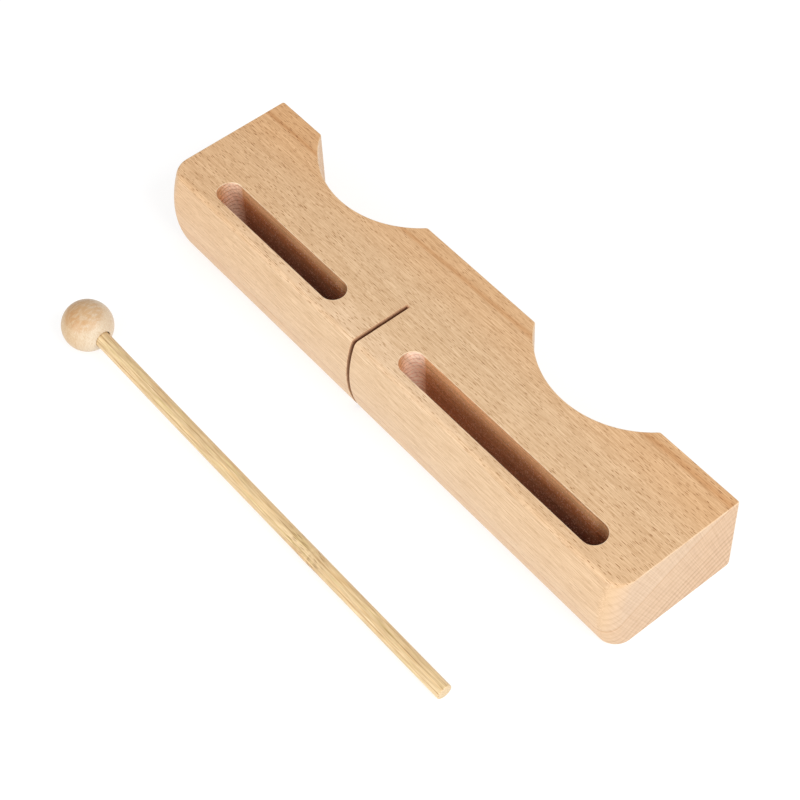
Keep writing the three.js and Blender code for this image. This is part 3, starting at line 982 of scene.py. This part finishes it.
def sanded_beech():
    """The planed and sanded faces. Their sharp edges are paler from rubbing and a painted highlight, and the
    slots' rims are chipped.
    """
    s = Shader("beech")
    wood = Wood(s, BLOCK_TURN, BLOCK_PITH)
    x, y, _ = s.separate(wood.object)
    off_middle_x = s.less(x, CALM_MIDDLE)
    to_end = s.math("POWER", s.product(off_middle_x, 1 / CALM_REACH), 2.0)
    colour, roughness, height = plain_beech(s, wood, marked=s.step(to_end, *FLECKS_TO_END))
    warm = s.math("MULTIPLY_ADD", to_end, WARMTH_AT_ENDS, s.step(y, *WARMTH_TO_BACK))
    warm = s.product(warm, s.step(wood.fibres_rise, *WARMTH_ON_END))
    along_strip = s.math("ABSOLUTE", s.total(x, PALE_STRIP_TO_LEFT))
    pale = s.product(s.step(y, *PALE_STRIP_ACROSS), s.step(along_strip, *PALE_STRIP_ALONG))
    colour = s.tint(warm, colour, BEECH_WARM)
    colour = s.tint(s.product(pale, wood.flat_sawn), colour, BEECH_PALE)
    # sides: their own paler tone with a painted sheen
    colour = s.tint(s.less(1.0, wood.flat_sawn), colour, BEECH_SIDE_TONE_AND_SHEEN)
    worn_and_highlit = s.attribute(WEAR_AND_HIGHLIGHT)
    rubbed_and_highlit = s.product(worn_and_highlit, s.step(s.noise(wood.object, RUBBED_AND_HIGHLIT_PATCH_SIZES), *RUBBED_AND_HIGHLIT_SHARES))
    chipped = s.product(worn_and_highlit, s.step(s.noise(wood.object, CHIP_SIZES), *CHIPPED_SHARES))
    on_slot = s.product(chipped, s.step(s.attribute(RUN), *SLOT_RIM_START))
    torn_and_lit = s.product(chipped, s.step(s.attribute(PALE), *TORN_AND_HIGHLIT_RIM_SHARES))
    # paler edges and slot rims: rubbing with a painted highlight
    colour = s.mix(s.math("MAXIMUM", rubbed_and_highlit, on_slot), colour, BEECH_WORN_AND_HIGHLIT)
    # slot rims at the pale ends: fibres the cutter tore, with a painted highlight
    colour = s.mix(torn_and_lit, colour, BEECH_TORN_RIM_AND_HIGHLIGHT)
    return s.finish(colour, roughness, height, WOOD_BUMP)


def turned_beech():
    """The ball: paler sapwood whose fibres stand upright, so that its top shows mottled end grain."""
    s = Shader("turned_beech")
    wood = Wood(s, BALL_TURN, BALL_PITH)
    colour, roughness, height = plain_beech(s, wood, 0.0, SAPWOOD_DARK, SAPWOOD_LIGHT, SAPWOOD_CONTRAST, 0.0)
    towards_warm = (WARM_SIDE[0] * MM / BALL_RADIUS, WARM_SIDE[1] * MM / BALL_RADIUS, 0.0)
    warm_side = s.vector("DOT_PRODUCT", wood.object, towards_warm)
    colour = s.tint(s.step(warm_side, *WARM_SIDE_SHARES), colour, SAPWOOD_WARM)
    blotch = s.noise(wood.place, BLOTCH_SIZES, BLOTCH_DETAIL)
    brown = s.product(s.step(wood.end_grain, *BROWN_ON_TOP), s.step(blotch, *BROWN_BLOTCHES),
                      s.step(warm_side, *BROWN_TO_WARM_SIDE))
    colour = s.tint(brown, colour, SAPWOOD_BROWN)
    return s.finish(colour, roughness, height, WOOD_BUMP)


def sawn_beech():
    """The kerf's walls: end grain, greyed by the saw, and painted darker with depth into the kerf as shade.
    """
    s = Shader("sawn_beech")
    wood = Wood(s, BLOCK_TURN, BLOCK_PITH)
    colour, roughness, height = plain_beech(s, wood)
    _, y, z = s.separate(wood.object)
    from_middle = s.math("DIVIDE", s.less(z, MIDDLE_Z / MM), MIDDLE_Z / MM)
    front = s.math("MULTIPLY_ADD", s.math("POWER", from_middle, 2.0), CROWN_RISE / MM, CREST_Y / MM)
    depth = s.math("MINIMUM", s.less(THICKNESS / MM, z), s.less(y, front))
    colour = s.tint(1.0, colour, SAWN_GREY)
    # painted shade, darker deeper into the kerf
    colour = s.tint(s.step(depth, *KERF_PAINTED_SHADE_DEPTH), colour, KERF_PAINTED_SHADE)
    return s.finish(colour, s.total(roughness, SAWN_ROUGHNESS), height, WOOD_BUMP)


def dust(s, wood, run):
    """Specks of wood dust in patches: more of them lower down and towards a slot's right end."""
    specks = s.node("TexVoronoi", {"Vector": wood.object, "Scale": DUST_SCALE, "Randomness": 1.0})
    z = s.separate(wood.object)[2]
    thick = s.total(s.noise(wood.object, DUST_PATCH_SIZES), s.product(run, DUST_ALONG_SLOT),
                    s.step(z, *DUST_BY_HEIGHT))
    chance = s.product(s.separate(specks.outputs["Color"])[0], DUST_CHANCE)
    there = s.step(s.less(thick, chance), *DUST_THICKNESS)
    return s.product(s.step(specks.outputs["Distance"], *DUST_SPECK), there, DUST_STRENGTH)


def cutter_lines(s, wood):
    """Leaning, swaying lines that the cutter tore in the end grain."""
    _, y, z = s.separate(wood.object)
    sway = s.swing(s.noise(wood.object, CUTTER_SWAY_SIZES, 1.0), CUTTER_SWAY)
    climb = s.math("MULTIPLY_ADD", y, -CUTTER_LINE_SLOPE, z)
    cut = s.math("FRACT", s.math("MULTIPLY_ADD", climb, 1 / CUTTER_STEP, sway))
    return s.product(s.step(cut, *CUTTER_LINE_FADE), s.step(cut, *CUTTER_LINE_START))


def routed_beech():
    """The slots' walls: browned, streaked along the fibres, dusty, darker deeper down and towards the right
    end from cutter burn and painted shade, and pale at one side of each end from end grain that the cutter
    tore and from painted light.
    """
    s = Shader("routed_beech")
    wood = Wood(s, BLOCK_TURN, BLOCK_PITH)
    pale, run = s.attribute(PALE), s.attribute(RUN)
    colour, roughness, height = plain_beech(s, wood, 0.0)
    x, _, z = s.separate(wood.object)
    grain = s.noise(wood.object, GRAIN_SIZES, 1.0)
    streaks = s.noise(wood.place, ROUTED_STREAK_SIZES)
    # lighter patch in the low slot's left half
    lighter_patch = s.product(s.step(x, *LIGHTER_PATCH_START), s.step(x, *LIGHTER_PATCH_END))
    # cutter burn with painted shade: darker lower down and towards each slot's right end, less in the lighter
    # patch
    burnt_and_shaded = s.product(s.step(z, *BURN_AND_SHADE_BY_HEIGHT), s.step(run, *BURN_AND_SHADE_ALONG_SLOT),
                      s.step(lighter_patch, *BURN_AND_SHADE_IN_LIGHTER_PATCH))
    # cutter smoke with painted shade: a darker band partway down, outside the lighter patch
    smoked_and_shaded = s.product(s.step(z, *SMOKE_AND_SHADE_FROM), s.step(z, *SMOKE_AND_SHADE_TO), s.less(1.0, lighter_patch))
    colour = s.tint(1.0, colour, CUTTER_BROWNED)
    colour = s.tint(burnt_and_shaded, colour, CUTTER_BURN_AND_PAINTED_SHADE)
    colour = s.tint(smoked_and_shaded, colour, CUTTER_SMOKE_AND_PAINTED_SHADE)
    brightness = s.total(s.math("MULTIPLY_ADD", lighter_patch, LIGHTER_PATCH_GAIN, 1.0),
                         s.swing(streaks, ROUTED_CONTRAST), s.swing(grain, ROUTED_CONTRAST))
    colour = s.vector("SCALE", colour, brightness)
    colour = s.mix(dust(s, wood, run), colour, WOOD_DUST)
    # cutter burn with painted shade at each slot's right end
    colour = s.tint(s.step(run, *DWELL_BURN_AND_SHADE_START), colour, DWELL_BURN_AND_PAINTED_SHADE)

    line = cutter_lines(s, wood)
    rays = s.noise(wood.trunk, TORN_RAY_SIZES, 1.0)
    brightness = s.total(1.0, s.swing(rays, TORN_RAY_CONTRAST), s.swing(grain, TORN_GRAIN_CONTRAST),
                         s.step(z, *PAINTED_LIGHT_BY_HEIGHT))
    # pale end walls: end grain that the cutter tore, with painted light
    torn_and_lit = s.vector("SCALE", TORN_GRAIN_AND_PAINTED_LIGHT, brightness)
    browned = s.product(wood.end_grain, s.step(pale, *BROWNED_WHERE_PALE))
    colour = s.tint(browned, colour, END_BROWNED)
    colour = s.mix(pale, colour, torn_and_lit)
    torn_or_end = s.total(pale, s.product(wood.end_grain, LINES_ON_END_GRAIN))
    lined = s.product(s.step(torn_or_end, *LINED_SHARES), s.step(pale, *LINED_WHERE_PALE))
    colour = s.tint(s.product(line, lined), colour, CUTTER_LINE)
    height = s.less(height, line)
    return s.finish(colour, s.total(roughness, ROUTED_ROUGHNESS), height, WOOD_BUMP)


def bamboo_bundles(s, place, x, z):
    """The fibre bundles that the dowel's side cuts open: they run along the handle and wander a little."""
    wander = s.noise(place, BUNDLE_WANDER_SIZES, colour=True)
    wander = s.vector("MULTIPLY", s.vector("SUBTRACT", wander, NOISE_MIDDLE), (BUNDLE_WANDER * 2,) * 3)
    across = s.vector("DIVIDE", s.vector("ADD", s.combine(x, z, 0.0), wander), (BUNDLE_SPACING,) * 3)
    cells = s.node("TexVoronoi", {"Vector": across, "Scale": 1.0, "Randomness": BUNDLE_SCATTER},
                   voronoi_dimensions="2D")
    chance = s.separate(cells.outputs["Color"])[0]
    return s.product(s.step(cells.outputs["Distance"], *BUNDLE_EDGE), s.step(chance, *BUNDLE_STRENGTHS))


def node_dashes(s, along, past_node, around):
    """Dark dashes on both sides of the bamboo's node, which the node bends aside."""
    from_node = s.math("ABSOLUTE", past_node)
    near_node = s.product(s.step(past_node, *NODE_DASHES_START), s.step(past_node, *NODE_DASHES_END),
                          s.step(from_node, *NODE_DASH_GAP))
    bend = s.less(1.0, s.math("POWER", 0.5, s.product(from_node, NODE_BEND_FADE)))
    bent = s.less(around, s.product(bend, NODE_BEND))
    dashes = spindles(s, along, bent, *NODE_DASHES)
    return s.product(dashes, near_node)


def bamboo(node_place, radius):
    """Bamboo: long fibres, bundles cut open here and there, and a node two thirds of the way along."""
    s = Shader("bamboo")
    places = s.node("TexCoord", {})
    place = s.vector("MULTIPLY", places.outputs["Object"], METRES_TO_MM)
    x, y, z = s.separate(place)
    past_node = s.less(y, node_place / MM)
    around = s.product(s.math("ARCTAN2", x, z), radius / MM)
    bundle = bamboo_bundles(s, place, x, z)
    dash = node_dashes(s, y, past_node, around)
    fibres = s.noise(place, BAMBOO_FIBRE_SIZES, BAMBOO_FIBRE_DETAIL)
    streak = s.noise(place, BAMBOO_STREAK_SIZES)
    stripe = s.noise(place, BAMBOO_STRIPE_SIZES)
    tone = s.total(0.5, s.swing(fibres, BAMBOO_FIBRE_CONTRAST), s.swing(streak, BAMBOO_STREAK_CONTRAST))
    colour = s.mix(tone, BAMBOO_DARK, BAMBOO_LIGHT)
    colour = s.tint(s.step(stripe, *GREENISH_STRIPES), colour, BAMBOO_GREENISH)
    colour = s.tint(s.step(stripe, *ORANGE_STRIPES), colour, BAMBOO_ORANGE)
    colour = s.tint(s.product(bundle, BUNDLE_STRENGTH), colour, BAMBOO_BUNDLE)
    colour = s.tint(dash, colour, BAMBOO_NODE)
    colour = s.tint(s.step(s.math("ABSOLUTE", past_node), *NODE_RING_EDGE), colour, BAMBOO_NODE_RING)
    facing = s.separate(s.vector("ABSOLUTE", places.outputs["Normal"]))
    colour = s.tint(s.step(facing[1], *HANDLE_END_FACING), colour, BAMBOO_END)
    roughness = s.step(fibres, *BAMBOO_ROUGHNESS)
    height = s.less(fibres, s.product(s.math("MAXIMUM", bundle, dash), BUNDLE_RELIEF))
    return s.finish(colour, roughness, height, BAMBOO_BUMP)


def make_floor():
    """A plain white light table: it glows a little, so that shadows on it stay faint."""
    half = FLOOR_SIZE / 2
    mesh = bpy.data.meshes.new("floor")
    corners = [(-half, -half, 0), (half, -half, 0), (half, half, 0), (-half, half, 0)]
    mesh.from_pydata(corners, [], [(0, 1, 2, 3)])
    s = Shader("floor")
    values = {"Base Color": FLOOR_COLOUR, "Roughness": FLOOR_ROUGHNESS, "Specular IOR Level": 0.0,
              "Emission Color": WHITE, "Emission Strength": FLOOR_GLOW}
    for socket, value in values.items():
        s.feed(s.surface.inputs[socket], value)
    mesh.materials.append(s.material)
    floor = linked("floor", mesh)


def direction(azimuth, elevation):
    """Towards the camera or a lamp: azimuth 0 is before the crowned side, 90 beyond the low tone's end."""
    return Vector((
        math.sin(azimuth) * math.cos(elevation),
        -math.cos(azimuth) * math.cos(elevation),
        math.sin(elevation),
    ))


def make_softbox(name, azimuth, elevation, power):
    light = bpy.data.lights.new(name, "AREA")
    light.energy = power
    light.size = SOFTBOX_SIZE
    lamp = linked(name, light)
    towards = direction(math.radians(azimuth), math.radians(elevation))
    lamp.location = towards * SOFTBOX_DISTANCE
    lamp.rotation_euler = (-towards).to_track_quat("-Z", "Y").to_euler()


def make_lights():
    """A white room with one softbox on each side of the camera."""
    world = bpy.data.worlds.new("studio")
    world.use_nodes = True
    background = world.node_tree.nodes["Background"]
    background.inputs["Color"].default_value = WHITE
    background.inputs["Strength"].default_value = ROOM_BRIGHTNESS
    bpy.context.scene.world = world
    make_softbox("right_softbox", *RIGHT_SOFTBOX)
    make_softbox("left_softbox", *LEFT_SOFTBOX)


def make_camera():
    """The camera looks at the photograph's aim point, turned a little about its own axis."""
    back = direction(CAMERA_AZIMUTH, CAMERA_ELEVATION)
    lens = bpy.data.cameras.new("camera")
    lens.lens = CAMERA_LENS
    lens.sensor_width = CAMERA_SENSOR
    camera = linked("camera", lens)
    camera.location = Vector(CAMERA_AIM) + back * CAMERA_DISTANCE
    camera.rotation_mode = "QUATERNION"
    level = (-back).to_track_quat("-Z", "Y").to_matrix()
    camera.rotation_quaternion = (Matrix.Rotation(-CAMERA_ROLL, 3, back) @ level).to_quaternion()
    bpy.context.scene.camera = camera


make_block([sanded_beech(), routed_beech(), sawn_beech()])
handle_origin, handle_axis, handle_start, handle_end, handle_radius = handle_measures()
mallet = mallet_place(handle_origin, handle_axis)
node_place = handle_start + NODE_SHARE * (handle_end - handle_start)
make_ball(mallet, handle_radius, turned_beech())
make_handle(mallet, handle_start, handle_end, node_place, handle_radius, bamboo(node_place, handle_radius))
make_floor()
make_lights()
make_camera()
bpy.context.scene.view_settings.view_transform = "Standard"
